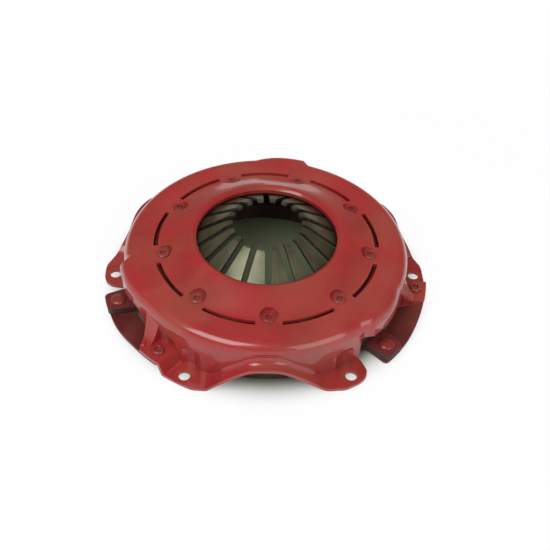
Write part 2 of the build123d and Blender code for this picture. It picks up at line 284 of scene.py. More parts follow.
@dataclass(frozen=True)
class PaintedSteel(Finish):
    """Glossy red paint with an orange-peel skin, fine dusty specks and cloudy brownish patches
    that are partly dusty and partly painted sheen.
    """

    tone_limits: Limits = (0.35, 0.75)
    # Brownish colour laid on in fine specks and in cloudy patches. The specks are dusty. The
    # cloudy patches are partly dusty and partly a painted sheen that stands in for warm brownish
    # reflections.
    dust_and_sheen_colour: Colour = (0.33, 0.105, 0.062)
    speck_scale: float = 420.0
    speck_detail: float = 6.0
    speck_limits: Limits = (0.56, 0.78)
    speck_share: float = 0.14
    dust_and_sheen_scale: float = 17.0
    dust_and_sheen_detail: float = 5.0
    dust_and_sheen_limits: Limits = (0.4, 0.66)
    dust_and_sheen_share: float = 0.26

    def dress(self, graph: Graph, shader: bpy.types.Node) -> None:
        """Adds the paint's tones, dusty specks, cloudy brownish patches that are partly painted
        sheen, and the orange peel.
        """
        where = graph.place()
        patches = graph.ramp(graph.noise(where, self.tone_scale), *self.tone_limits)
        colour = graph.mix(patches, self.colour, self.tone)
        specks = graph.noise(where, self.speck_scale, self.speck_detail)
        specks = graph.math("MULTIPLY", graph.ramp(specks, *self.speck_limits), self.speck_share)
        # Cloudy brownish patches: partly dusty, partly painted sheen standing in for reflections.
        dust_and_sheen_veil = graph.noise(where, self.dust_and_sheen_scale, self.dust_and_sheen_detail)
        dust_and_sheen_veil = graph.math("MULTIPLY", graph.ramp(dust_and_sheen_veil, *self.dust_and_sheen_limits), self.dust_and_sheen_share)
        dust_and_sheen_film = graph.math("ADD", specks, dust_and_sheen_veil)
        self.connect(graph, shader, graph.mix(dust_and_sheen_film, colour, self.dust_and_sheen_colour), where, patches)


@dataclass(frozen=True)
class StreakedSteel(Finish):
    """Oil-darkened spring steel with streaks along or round the clutch axis."""

    tone_limits: Limits = (0.38, 0.62)
    axis: Axis = Axis.RADIAL
    streak: float = 40.0
    line_scale: float = 60.0
    line_share: float = 0.55
    detail: float = 4.0

    def dress(self, graph: Graph, shader: bpy.types.Node) -> None:
        """Adds streaks, a mottled bloom and the relief of the rolled sheet."""
        where = graph.place()
        streaks = graph.polar_point(self.streak, self.axis)
        lines = graph.noise(streaks, self.line_scale, self.detail)
        lines = graph.math("MULTIPLY", lines, self.line_share)
        bloom = graph.noise(where, self.tone_scale, self.detail)
        bloom = graph.math("MULTIPLY", bloom, 1 - self.line_share)
        patches = graph.ramp(graph.math("ADD", lines, bloom), *self.tone_limits)
        self.connect(graph, shader, graph.mix(patches, self.colour, self.tone), where, patches)


@dataclass(frozen=True)
class SprayedWire(StreakedSteel):
    """Ring wire whose top caught the paint that fell through the cover's slots."""

    paint: Colour = (0.13, 0.014, 0.015)
    paint_limits: Limits = (-0.3, 0.2)

    def connect(
        self, graph: Graph, shader: bpy.types.Node, colour: bpy.types.NodeSocket,
        where: bpy.types.NodeSocket, patches: bpy.types.NodeSocket,
    ) -> None:
        """Lays the paint over the top of the wire and links the rest as on any finish."""
        up = graph.ramp(graph.upward(), *self.paint_limits)
        super().connect(graph, shader, graph.mix(up, colour, self.paint), where, patches)


@dataclass(frozen=True)
class SprayedIron(Finish):
    """Rough cast iron whose lug tops caught the red paint; its underside is turned flat."""

    paint: Colour = (0.40, 0.04, 0.045)
    paint_limits: Limits = (0.35, 0.8)
    paint_share: float = 0.96
    lug_r: Limits = (0.129, 0.133)
    machined: Colour = (0.30, 0.30, 0.29)
    machined_limits: Limits = (0.8, 0.95)
    machined_z: Limits = (0.0015, 0.0022)

    def dress(self, graph: Graph, shader: bpy.types.Node) -> None:
        """Adds the casting skin, the paint on the lugs and the turned friction face."""
        where = graph.place()
        x, y, z = graph.parts(where)
        facing = graph.upward()
        up = graph.ramp(facing, *self.paint_limits)
        down = graph.ramp(graph.math("MULTIPLY", facing, -1.0), *self.machined_limits)
        outside = graph.ramp(graph.distance(x, y), *self.lug_r)
        low = graph.math("SUBTRACT", 1.0, graph.ramp(z, *self.machined_z))
        patches = graph.ramp(graph.noise(where, self.tone_scale), *self.tone_limits)
        skin = graph.mix(patches, self.colour, self.tone)
        sprayed = graph.math("MULTIPLY", graph.math("MULTIPLY", up, outside), self.paint_share)
        skin = graph.mix(sprayed, skin, self.paint)
        turned = graph.math("MULTIPLY", down, low)
        skin = graph.mix(turned, skin, self.machined)
        self.connect(graph, shader, skin, where, patches)


RED = PaintedSteel(
    "red paint", (0.345, 0.019, 0.022), (0.265, 0.019, 0.018), 0.30, coat=0.75, specular=0.3,
    grain_scale=420.0, grain_depth=0.010, tone_scale=22.0,
)
RIVET_RED = PaintedSteel(
    "painted rivet", (0.23, 0.017, 0.019), (0.16, 0.014, 0.016), 0.34, coat=0.5, specular=0.3,
    grain_scale=700.0, grain_depth=0.02, tone_scale=160.0,
)
# The straps' red is far darker than the cover's red paint: painted shade, for the straps lie in
# the shadow under the cover.
STRAP_RED_IN_PAINTED_SHADE = PaintedSteel(
    "strap paint in painted shade", (0.12, 0.013, 0.014), (0.08, 0.011, 0.011), 0.42, coat=0.2, specular=0.3,
    grain_scale=800.0, grain_depth=0.01, tone_scale=60.0,
)
IRON = SprayedIron(
    "cast iron", (0.050, 0.022, 0.018), (0.065, 0.038, 0.030), 0.62, specular=0.3,
    paint=(0.15, 0.019, 0.020), grain_scale=1400.0, grain_depth=0.09, tone_scale=90.0,
)
SPRING = StreakedSteel(
    "spring steel", (0.078, 0.083, 0.053), (0.155, 0.158, 0.105), 0.34, metallic=0.8,
    grain_scale=1500.0, grain_depth=0.008, tone_scale=45.0,
)
WIRE = SprayedWire(
    "wire steel", (0.16, 0.15, 0.12), (0.26, 0.25, 0.2), 0.34, metallic=0.4,
    grain_scale=1500.0, grain_depth=0.006, tone_scale=120.0, axis=Axis.ROUND,
)


@dataclass
class Wardrobe:
    """Materials made once and handed out by slot."""

    made: dict[Slot, bpy.types.Material] = field(default_factory=dict)

    def get(self, slot: Slot) -> bpy.types.Material:
        """Material of a slot, made at first use."""
        finishes = {
            Slot.RED_PAINT: RED, Slot.PAINTED_RIVET: RIVET_RED, Slot.PAINTED_STRAP: STRAP_RED_IN_PAINTED_SHADE,
            Slot.CAST_IRON: IRON, Slot.SPRING_STEEL: SPRING, Slot.WIRE_STEEL: WIRE,
        }
        if slot not in self.made:
            self.made[slot] = finishes[slot].material()
        return self.made[slot]

    def dress(self, piece: bpy.types.Object, slot: Slot) -> None:
        """Puts a slot's material on a whole piece."""
        if not piece.data.materials:
            piece.data.materials.append(None)
        for i in range(len(piece.data.materials)):
            piece.data.materials[i] = self.get(slot)


def shade(edges: Iterable[bmesh.types.BMEdge], angle: float) -> None:
    """Marks the edges sharper than so many degrees, and the open ones, as crisp."""
    limit = math.radians(angle)
    for edge in edges:
        edge.smooth = len(edge.link_faces) == 2 and edge.calc_face_angle(0.0) < limit


def smooth_copy(node: bpy.types.Object, name: str, angle: float) -> bpy.types.Object:
    """Copy of a CAD node with its corners joined and its soft edges shaded smooth.

    Args:
        node: the CAD node's object.
        name: name of the new piece.
        angle: edges sharper than this many degrees stay crisp.

    Returns:
        The new object, linked to the scene.
    """
    mesh = node.data.copy()
    mesh.name = name
    work = bmesh.new()
    work.from_mesh(mesh)
    bmesh.ops.remove_doubles(work, verts=work.verts, dist=MERGE)
    for face in work.faces:
        face.smooth = True
    shade(work.edges, angle)
    work.to_mesh(mesh)
    work.free()
    return linked(name, mesh)


@dataclass(frozen=True)
class Arch:
    """Underside of the flange, flat under the feet and arched between them, in mm."""

    height: float
    flat: float
    run: float
    top_fillet: float
    foot_fillet: float
    azimuth: float = 0.0

    def rise(self, radius: float, azimuth: float) -> float:
        """Height of the underside at a place of the flange, in mm."""
        across = abs(radius * math.sin(math.radians(azimuth - self.azimuth)))
        slope = math.atan2(self.height, self.run)
        foot, top = self.flat + self.run, self.flat
        foot_reach = self.foot_fillet * math.tan(slope / 2)
        top_reach = self.top_fillet * math.tan(slope / 2)
        if across >= foot + foot_reach:
            return 0.0
        if across > foot - foot_reach * math.cos(slope):
            gone = foot + foot_reach - across
            return self.foot_fillet - math.sqrt(self.foot_fillet ** 2 - gone ** 2)
        if across > top + top_reach * math.cos(slope):
            return (foot - across) * math.tan(slope)
        if across > top - top_reach:
            gone = across - top + top_reach
            return self.height - self.top_fillet + math.sqrt(self.top_fillet ** 2 - gone ** 2)
        return self.height


def smooth_step(value: float, low: float, high: float) -> float:
    """Goes from 0 to 1 between two limits with soft ends."""
    t = min(max((value - low) / (high - low), 0.0), 1.0)
    return t * t * (3 - 2 * t)


@dataclass(frozen=True)
class Skirt:
    """Presses the flange between the feet into its sweeping form, in mm and degrees.

    Azimuths are counted from the middle of the nearest arch.

    Attributes:
        solid: the arch of the CAD cover.
        drawn: the arch as the photograph shows it.
        sheet: thickness of the sheet.
        lip_r: radius of the edge in the middle of the arch.
        foot_rise: how much further out the edge runs at the feet.
        lip_sweep: azimuths between which it runs out.
        lip_slack: how far all other vertices stay inside the edge.
        hold_r: inside this radius no radius changes.
        wall_r: outer radius of the wall.
        wall_slack: how far inside it the soft corner still counts.
        crown_z: above this height nothing is lifted.
        fade_start: height over the flange where the lift starts to fade.
        flare: radius of the soft corner between wall and flange.
        flare_sweep: azimuths between which the soft corner ends.
        half_sweep: azimuth where the pressed edge ends.
        blend_sweep: width over which it blends into the foot.
        foot_side: azimuth of the foot's far side.
        foot_side_start: azimuth from which that side is sheared.
        foot_side_shift: how far it is sheared.
        foot_side_r: radii between which the shear grows.
        foot_corner_cut: how far the corner at that side is drawn in.
        foot_corner_sweep: azimuths between which it is drawn in.
        foot_corner_r: radii between which it is drawn in.
        bulge_r: radii between which a bulge rises out of the crown.
        ledge: radius, height and slope of the crown at its inner end.
        bolt: radius and azimuth of a bolt hole.
        seat_r: radius of its coined seat, with a little room.
        reach: how far inside, beside and above the flange vertices still move.
        longest: longest edge that the moving part keeps.
        rounds: most rounds of cutting.
        steepest: a face whose normal rises more can't be the edge.
        sliver: a face with less than this share of its longest edge squared is left out.
        rim_margin: radius and azimuth by which the search for the edge is shifted.
        hair: heights below this count as none.
    """

    solid: Arch = Arch(height=21.2, flat=11.0, run=32.0, top_fillet=26.0, foot_fillet=14.0)
    drawn: Arch = Arch(
        height=26.7, flat=12.0, run=37.0, top_fillet=26.0, foot_fillet=16.0, azimuth=-1.0,
    )
    sheet: float = 3.2
    lip_r: float = 143.6
    foot_rise: float = 12.2
    lip_sweep: Limits = (9.0, 29.0)
    lip_slack: float = 0.03
    hold_r: float = 136.5
    wall_r: float = 134.5
    wall_slack: float = 0.8
    crown_z: float = 37.0
    fade_start: float = 1.5
    flare: float = 6.5
    flare_sweep: Limits = (15.0, 21.0)
    half_sweep: float = 27.0
    blend_sweep: float = 4.0
    foot_side: float = 37.3
    foot_side_start: float = 32.5
    foot_side_shift: float = 1.1
    foot_side_r: Limits = (136.5, 150.0)
    foot_corner_cut: float = 2.4
    foot_corner_sweep: Limits = (30.5, 36.3)
    foot_corner_r: Limits = (146.0, 156.0)
    bulge_r: Limits = (112.3, 128.0)
    ledge: tuple[float, float, float] = (109.0, 46.2, 0.048)
    bolt: Limits = (146.0, 30.0)
    seat_r: float = 11.2
    reach: tuple[float, float, float] = (5.0, 1.0, 2.0)
    longest: float = 2.2
    rounds: int = 7
    steepest: float = 0.35
    sliver: float = 0.03
    rim_margin: Limits = (2.0, 0.5)
    hair: float = 0.05

    def local(self, point: Vector) -> tuple[float, float, float]:
        """Radius, azimuth from the middle of the nearest arch, and height of a point."""
        azimuth = math.degrees(math.atan2(point.x, -point.y))
        azimuth -= 360 / SECTORS * round(azimuth * SECTORS / 360)
        return math.hypot(point.x, point.y) / MM, azimuth, point.z / MM

    def near(self, point: Vector) -> bool:
        """Tells whether a point lies on the part of the skirt that is pressed."""
        radius, azimuth, z = self.local(point)
        inward, sideways, up = self.reach
        beside = abs(azimuth) < self.foot_side + sideways
        return radius > self.wall_r - inward and beside and z < self.crown_z + up

    def refine(self, work: bmesh.types.BMesh) -> None:
        """Cuts the long edges of the skirt until it can take the form."""
        for _ in range(self.rounds):
            long = [edge for edge in work.edges if self.too_long(edge)]
            if not long:
                break
            bmesh.ops.subdivide_edges(work, edges=long, cuts=1)
            cut = [face for face in work.faces if len(face.verts) > 3]
            bmesh.ops.triangulate(work, faces=cut)

    def too_long(self, edge: bmesh.types.BMEdge) -> bool:
        """Tells whether an edge of the pressed part is still to be cut."""
        a, b = (vert.co for vert in edge.verts)
        long = edge.calc_length() > self.longest * MM
        return long and any(self.near(p) for p in (a, b, (a + b) / 2))

    def in_seat(self, radius: float, azimuth: float) -> bool:
        """Tells whether a place lies in the coined seat of a bolt hole."""
        circle, sweep = self.bolt
        away = math.radians(abs(azimuth) - sweep)
        gap = radius ** 2 + circle ** 2 - 2 * radius * circle * math.cos(away)
        return gap < self.seat_r ** 2

    def on_rim(self, point: Vector) -> bool:
        """Tells whether a point of a steep face can lie on the outer edge of the flange."""
        radius, azimuth, z = self.local(point)
        outward, sideways = self.rim_margin
        if radius <= self.hold_r + outward or abs(azimuth) >= self.half_sweep + sideways:
            return False
        low = z < self.solid.rise(radius, azimuth) + 2 * self.sheet
        return low and not self.in_seat(radius, azimuth)

    def rim(self, work: bmesh.types.BMesh) -> dict[bmesh.types.BMVert, Limits]:
        """Vertices on the outer edge of the flange with their azimuth and radius."""
        found = {}
        for face in work.faces:
            longest = max(edge.calc_length() for edge in face.edges)
            thin = face.calc_area() < self.sliver * longest ** 2
            if abs(face.normal.z) > self.steepest or thin:
                continue
            for vert in face.verts:
                if self.on_rim(vert.co):
                    radius, azimuth, _ = self.local(vert.co)
                    found[vert] = (azimuth, radius)
        return found

    def press(self, work: bmesh.types.BMesh) -> None:
        """Moves the vertices of the skirt to the drawn form."""
        rim = self.rim(work)
        edge = sorted(rim.values())
        for vert in work.verts:
            if self.near(vert.co):
                vert.co = self.moved(vert, rim, edge)
            else:
                self.settle(vert)

    def settle(self, vert: bmesh.types.BMVert) -> None:
        """Lets the top of a bulge run out into the crown, with no step at its inner end."""
        radius, _, z = self.local(vert.co)
        start, high, slope = self.ledge
        crown = high + slope * (radius - start)
        if start < radius < self.bulge_r[1] and z > crown + self.hair:
            vert.co.z = (crown + (z - crown) * smooth_step(radius, *self.bulge_r)) * MM

    def moved(
        self, vert: bmesh.types.BMVert, rim: dict[bmesh.types.BMVert, Limits], edge: list[Limits],
    ) -> Vector:
        """New place of a vertex.

        Args:
            vert: the vertex.
            rim: the vertices on the outer edge, with their azimuth and radius.
            edge: azimuth and radius of the outer edge in order of azimuth.

        Returns:
            Its place on the drawn form, in metres.
        """
        radius, azimuth, z = self.local(vert.co)
        low = self.solid.rise(radius, azimuth)
        fade = 1 - smooth_step(z, low + self.sheet + self.fade_start, self.crown_z)
        lift = (self.drawn.rise(radius, azimuth) - low) * fade
        if z > low + self.sheet / 2 and radius > self.wall_r - self.wall_slack:
            lift += self.flared(radius, azimuth) * fade
        new_radius = radius
        if radius > self.hold_r and z < low + 2 * self.sheet and abs(azimuth) < self.half_sweep:
            solid = None if vert in rim else self.edge_radius(edge, azimuth)
            new_radius = self.drawn_radius(radius, azimuth, solid)
        shift = 0.0
        if z < 2 * self.sheet:
            shift = self.foot_side_shift * smooth_step(radius, *self.foot_side_r)
            shift *= smooth_step(azimuth, self.foot_side_start, self.foot_side)
            cut = self.foot_corner_cut * smooth_step(azimuth, *self.foot_corner_sweep)
            new_radius -= cut * smooth_step(radius, *self.foot_corner_r)
        full = math.degrees(math.atan2(vert.co.x, -vert.co.y)) - shift
        return polar(new_radius * MM, full, (z + lift) * MM)

    def drawn_radius(self, radius: float, azimuth: float, solid: float | None) -> float:
        """Radius of a place of the flange between the feet, in mm.

        Args:
            radius: its radius on the solid.
            azimuth: its azimuth from the middle of the arch.
            solid: radius of the solid's edge there, or None for a place on the edge.

        Returns:
            Its radius on the drawn form, blended into the foot.
        """
        lip = self.lip_r + self.foot_rise * smooth_step(abs(azimuth), *self.lip_sweep)
        if solid is not None:
            scale = (lip - self.hold_r) / (solid - self.hold_r)
            inside = self.hold_r + (radius - self.hold_r) * scale
            lip = min(inside, lip - self.lip_slack)
        foot = smooth_step(abs(azimuth), self.half_sweep - self.blend_sweep, self.half_sweep)
        return lip + (radius - lip) * foot

    def flared(self, radius: float, azimuth: float) -> float:
        """Height that the soft inner corner between wall and flange adds, in mm."""
        amount = self.flare * (1 - smooth_step(abs(azimuth), *self.flare_sweep))
        away = max(radius - self.wall_r, 0.0)
        if amount < self.hair or away >= amount:
            return 0.0
        return amount - math.sqrt(amount ** 2 - (amount - away) ** 2)

    def edge_radius(self, edge: list[Limits], azimuth: float) -> float:
        """Radius of the solid's outer edge at an azimuth, in mm."""
        place = bisect.bisect(edge, (azimuth, 0.0))
        around = edge[max(place - 2, 0):place + 2]
        return max(radius for _, radius in around)


@dataclass(frozen=True)
class Ramp:
    """Ramp that joins a strap pad to the wall along the window, in mm and degrees."""

    pad_z: float = 14.4
    sunk: float = 1.0
    pad_azimuth: float = -41.7
    window_inner: Limits = (131.0, -53.8)
    window_outer: Limits = (153.0, -47.3)
    side: float = -9.0
    rows: tuple[Limits, ...] = (
        (130.0, 27.0), (132.0, 22.6), (134.2, 17.2), (136.4, 12.4),
        (139.2, 7.4), (142.2, 3.0), (144.0, 1.1), (146.0, 0.1),
    )

    def corners(self, turn: float) -> list[list[Vector]]:
        """Corners of each cross-section, at the window and at the far side."""
        along = polar(1.0, self.pad_azimuth + turn)
        across = polar(1.0, self.pad_azimuth + turn + 90)
        near = polar(self.window_inner[0] * MM, self.window_inner[1] + turn)
        way = polar(self.window_outer[0] * MM, self.window_outer[1] + turn) - near
        sections = []
        for reach, height in self.rows:
            edge = near + way * ((reach * MM - near.dot(along)) / way.dot(along))
            far = along * reach * MM + across * self.side * MM
            rises = (height, -self.sunk)
            top, low = (Vector((0, 0, (self.pad_z + rise) * MM)) for rise in rises)
            sections.append([edge + low, far + low, far + top, edge + top])
        return sections

    def add(self, work: bmesh.types.BMesh, crisp_angle: float) -> None:
        """Adds the closed ramps of all sectors to a mesh."""
        for sector in range(SECTORS):
            sections = self.corners(sector * 360 / SECTORS)
            rings = [[work.verts.new(point) for point in ring] for ring in sections]
            faces = [work.faces.new(rings[0]), work.faces.new(rings[-1])]
            for first, second in zip(rings, rings[1:]):
                for i in range(4):
                    j = (i + 1) % 4
                    faces.append(work.faces.new((first[i], first[j], second[j], second[i])))
            bmesh.ops.recalc_face_normals(work, faces=faces)
            for face in faces:
                face.smooth = True
                shade(face.edges, crisp_angle)


@dataclass
class Cover:
    """The stamped cover with its pivot rings."""

    wardrobe: Wardrobe
    skirt: Skirt = field(default_factory=Skirt)
    ramp: Ramp = field(default_factory=Ramp)
    crisp_angle: float = 32.0

    def build(self, nodes: dict[str, bpy.types.Object]) -> None:
        """Dresses the cover and the rings."""
        shell = smooth_copy(nodes["cover"], "cover_shell", self.crisp_angle)
        work = bmesh.new()
        work.from_mesh(shell.data)
        self.skirt.refine(work)
        self.skirt.press(work)
        shade(work.edges, self.crisp_angle)
        self.ramp.add(work, self.crisp_angle)
        work.to_mesh(shell.data)
        work.free()
        self.wardrobe.dress(shell, Slot.RED_PAINT)
        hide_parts("cover")
        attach(shell, COVER_BODY)
        LOG.info("cover_shell: %d faces", len(shell.data.polygons))
        for name in ("upper_pivot_ring", "lower_pivot_ring"):
            self.wardrobe.dress(nodes[name], Slot.WIRE_STEEL)
            LOG.info("%s dressed", name)


@dataclass
class Diaphragm:
    """The finger spring."""

    wardrobe: Wardrobe
    crisp_angle: float = 32.0

    def build(self, nodes: dict[str, bpy.types.Object]) -> None:
        """Dresses each finger with smoothly shaded bends."""
        for k in range(FINGERS):
            label = f"{k + 1:02d}"
            node = f"diaphragm_finger_{label}"
            piece = smooth_copy(nodes[node], f"spring_finger_{label}", self.crisp_angle)
            self.wardrobe.dress(piece, Slot.SPRING_STEEL)
            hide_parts(node)
            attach(piece, f"finger_{label}")
        LOG.info("%d fingers", FINGERS)


@dataclass
class Casting:
    """The cast pressure plate."""

    wardrobe: Wardrobe
    crisp_angle: float = 35.0

    def build(self, nodes: dict[str, bpy.types.Object]) -> None:
        """Dresses the casting."""
        piece = smooth_copy(nodes["pressure_plate"], "plate_casting", self.crisp_angle)
        self.wardrobe.dress(piece, Slot.CAST_IRON)
        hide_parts("pressure_plate")
        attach(piece, PLATE_BODY)
        LOG.info("plate_casting")


@dataclass
class Straps:
    """The leaf packs between the lugs and the pads."""

    wardrobe: Wardrobe
    lug_azimuth: float = 47.6
    pad_azimuth: float = 78.3
    circle_r: float = 144.8 * MM
    stations: int = 14
    bend: Limits = (0.25, 0.75)
    crisp_angle: float = 35.0

    def build(self, nodes: dict[str, bpy.types.Object]) -> None:
        """Copies each leaf, adds cross cuts to it, dresses it and bakes its place."""
        for sector in range(SECTORS):
            turn = 360 / SECTORS * sector
            lug = polar(self.circle_r, self.lug_azimuth + turn)
            pad = polar(self.circle_r, self.pad_azimuth + turn)
            for level in range(LEAVES):
                node = f"drive_strap_{sector + 1}_leaf_{level + 1}"
                name = f"strap_{sector + 1}_leaf_{level + 1}"
                piece = smooth_copy(nodes[node], name, self.crisp_angle)
                self.slice(piece, lug, pad)
                self.wardrobe.dress(piece, Slot.PAINTED_STRAP)
                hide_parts(node)
                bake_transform(piece)
        LOG.info("%d strap leaves", SECTORS * LEAVES)

    def slice(self, piece: bpy.types.Object, lug: Vector, pad: Vector) -> None:
        """Adds cross cuts to a leaf, at even steps from the lug rivet to the pad rivet.

        Args:
            piece: the leaf.
            lug: centre of the lug rivet.
            pad: centre of the pad rivet.
        """
        work = bmesh.new()
        work.from_mesh(piece.data)
        way = (pad - lug).normalized()
        for i in range(1, self.stations):
            at = lug.lerp(pad, i / self.stations)
            everything = list(work.verts) + list(work.edges) + list(work.faces)
            bmesh.ops.bisect_plane(
                work, geom=everything, plane_co=at, plane_no=way, dist=MERGE / 2,
            )
        work.to_mesh(piece.data)
        work.free()


@dataclass(frozen=True)
class RivetShape:
    """Side view of a rivet in mm: a head, plain or with a crater, a shank and a tail."""

    head_r: float
    head_h: float
    shank_r: float
    seat_z: float
    end_z: float
    tail_r: float
    tail_h: float
    crater_r: float = 0.0
    crater_depth: float = 0.0
    crater_floor: float = 0.75
    crater_foot: Limits = (0.95, 0.3)
    crater_lip: tuple[Limits, ...] = ((0.1, 0.35), (0.5, 0.05))
    crater_dome: tuple[float, float, int] = (0.9, 0.3, 6)
    plain_dome: tuple[float, float, int] = (0.0, 0.35, 10)
    head_edge: Limits = (0.1, 0.05)
    tail_edge: Limits = (0.1, 0.2)
    tail_bevel: Limits = (0.6, 0.5)
    crisp_angle: float = 40.0

    def dome(self, inner: float, low: float, steps: int) -> list[Limits]:
        """Quarter of an ellipse from the top of the head down to its rim.

        Args:
            inner: radius where the dome starts.
            low: how far the rim of the dome stands above the seat.
            steps: number of straight runs.

        Returns:
            Radius and height of its points.
        """
        points = []
        for i in range(steps + 1):
            a = math.pi / 2 * i / steps
            reach = inner + (self.head_r - inner) * math.sin(a)
            points.append((reach, self.seat_z + low + (self.head_h - low) * math.cos(a)))
        return points

    def crater(self) -> list[Limits]:
        """Floor and lip of the crater, from the middle outwards."""
        top = self.seat_z + self.head_h
        floor = top - self.crater_depth
        share, rise = self.crater_foot
        points = [(0.0, floor), (self.crater_r * self.crater_floor, floor)]
        points.append((self.crater_r * share, floor + rise))
        return points + [(self.crater_r + out, top - down) for out, down in self.crater_lip]

    def profile(self) -> list[Limits]:
        """Radius and height of the outline, from the top centre to the bottom centre."""
        if self.crater_r:
            out, low, steps = self.crater_dome
            points = self.crater() + self.dome(self.crater_r + out, low, steps)
        else:
            points = self.dome(*self.plain_dome)
        end = self.end_z - self.tail_h
        return points + [
            (self.head_r, self.seat_z + self.head_edge[1]),
            (self.head_r - self.head_edge[0], self.seat_z),
            (self.shank_r, self.seat_z),
            (self.shank_r, self.end_z),
            (self.tail_r - self.tail_edge[0], self.end_z),
            (self.tail_r, self.end_z - self.tail_edge[1]),
            (self.tail_r, end + self.tail_bevel[1]),
            (self.tail_r - self.tail_bevel[0], end),
            (0.0, end),
        ]

    def mesh(self, name: str, sides: int = 48) -> bpy.types.Mesh:
        """Turns the outline round the Z axis into a closed mesh."""
        work = bmesh.new()
        angles = [2 * math.pi * i / sides for i in range(sides)]
        rings: list[list[bmesh.types.BMVert]] = []
        for radius, z in self.profile():
            if radius == 0.0:
                places = [(0, 0, z)]
            else:
                places = [(radius * math.cos(a), radius * math.sin(a), z) for a in angles]
            rings.append([work.verts.new(Vector(place) * MM) for place in places])
        for upper, lower in zip(rings, rings[1:]):
            for i in range(sides):
                j = (i + 1) % sides
                if len(upper) == 1:
                    work.faces.new((upper[0], lower[i], lower[j]))
                elif len(lower) == 1:
                    work.faces.new((upper[i], lower[0], upper[j]))
                else:
                    work.faces.new((upper[i], lower[i], lower[j], upper[j]))
        bmesh.ops.recalc_face_normals(work, faces=work.faces)
        for face in work.faces:
            face.smooth = True
        shade(work.edges, self.crisp_angle)
        mesh = bpy.data.meshes.new(name)
        work.to_mesh(mesh)
        work.free()
        return mesh


@dataclass(frozen=True)
class RivetPlan:
    """One kind of rivet and the circle it stands on, in mm and degrees."""

    name: str
    node: str
    body: str
    count: int
    circle_r: float
    azimuth: float
    shape: RivetShape


class RivetRow:
    """Geometry Nodes tree that sets one rivet at even steps round the clutch axis."""

    def __init__(self) -> None:
        """Builds the tree with its named inputs."""
        tree = bpy.data.node_groups.new("rivet row", "GeometryNodeTree")
        self.tree = tree
        face = tree.interface
        face.new_socket("Geometry", in_out="OUTPUT", socket_type="NodeSocketGeometry")
        self.inputs: dict[str, str] = {}
        for name, kind in (
            ("Rivet", "NodeSocketObject"), ("Count", "NodeSocketInt"),
            ("Circle Radius", "NodeSocketFloat"), ("First Angle", "NodeSocketFloat"),
            ("Seed", "NodeSocketInt"), ("Finish", "NodeSocketMaterial"),
        ):
            socket = face.new_socket(name, in_out="INPUT", socket_type=kind)
            self.inputs[name] = socket.identifier
        self.grow()

    def grow(self) -> None:
        """Adds the nodes: a circle of points, one turned rivet on each, made real and dressed."""
        tree = self.tree
        graph = Graph(tree)
        given = graph.add("NodeGroupInput")
        circle = graph.add(
            "GeometryNodeMeshCircle",
            {"Vertices": given.outputs["Count"], "Radius": given.outputs["Circle Radius"]},
        )
        start = graph.add("ShaderNodeCombineXYZ", {2: given.outputs["First Angle"]})
        placed = graph.add(
            "GeometryNodeTransform", {"Geometry": circle.outputs[0], "Rotation": start.outputs[0]},
        )
        turn = graph.add(
            "FunctionNodeRandomValue", {"Max": MOST_TURN, "Seed": given.outputs["Seed"]},
            data_type="FLOAT",
        )
        spin = graph.add("ShaderNodeCombineXYZ")
        value = next(s for s in turn.outputs if s.type == "VALUE" and s.enabled)
        tree.links.new(value, spin.inputs[2])
        rivet = graph.add("GeometryNodeObjectInfo", {"Object": given.outputs["Rivet"]})
        stand = graph.add(
            "GeometryNodeInstanceOnPoints",
            {
                "Points": placed.outputs[0], "Instance": rivet.outputs["Geometry"],
                "Rotation": spin.outputs[0],
            },
        )
        real = graph.add("GeometryNodeRealizeInstances", {0: stand.outputs[0]})
        dressed = graph.add(
            "GeometryNodeSetMaterial",
            {"Geometry": real.outputs[0], "Material": given.outputs["Finish"]},
        )
        out = graph.add("NodeGroupOutput")
        tree.links.new(dressed.outputs[0], out.inputs[0])

    def make(self, plan: RivetPlan, finish: bpy.types.Material) -> bpy.types.Object:
        """Makes one row of rivets as a plain mesh.

        Args:
            plan: the rivet and where it stands.
            finish: its material.

        Returns:
            The finished object, with no modifier left.
        """
        template = linked("rivet template", plan.shape.mesh(plan.name + "_one"))
        holder = linked(plan.name + "_row", bpy.data.meshes.new(plan.name + "_row"))
        modifier = holder.modifiers.new("row", "NODES")
        modifier.node_group = self.tree
        values = {
            "Rivet": template, "Count": plan.count, "Circle Radius": plan.circle_r * MM,
            "First Angle": math.radians(plan.azimuth - 90), "Seed": SEED, "Finish": finish,
        }
        for key, value in values.items():
            modifier[self.inputs[key]] = value
        bpy.context.view_layer.update()
        evaluated = holder.evaluated_get(bpy.context.evaluated_depsgraph_get())
        mesh = bpy.data.meshes.new_from_object(evaluated)
        mesh.name = plan.name
        piece = linked(plan.name, mesh)
        bpy.data.objects.remove(holder)
        bpy.data.objects.remove(template)
        return piece


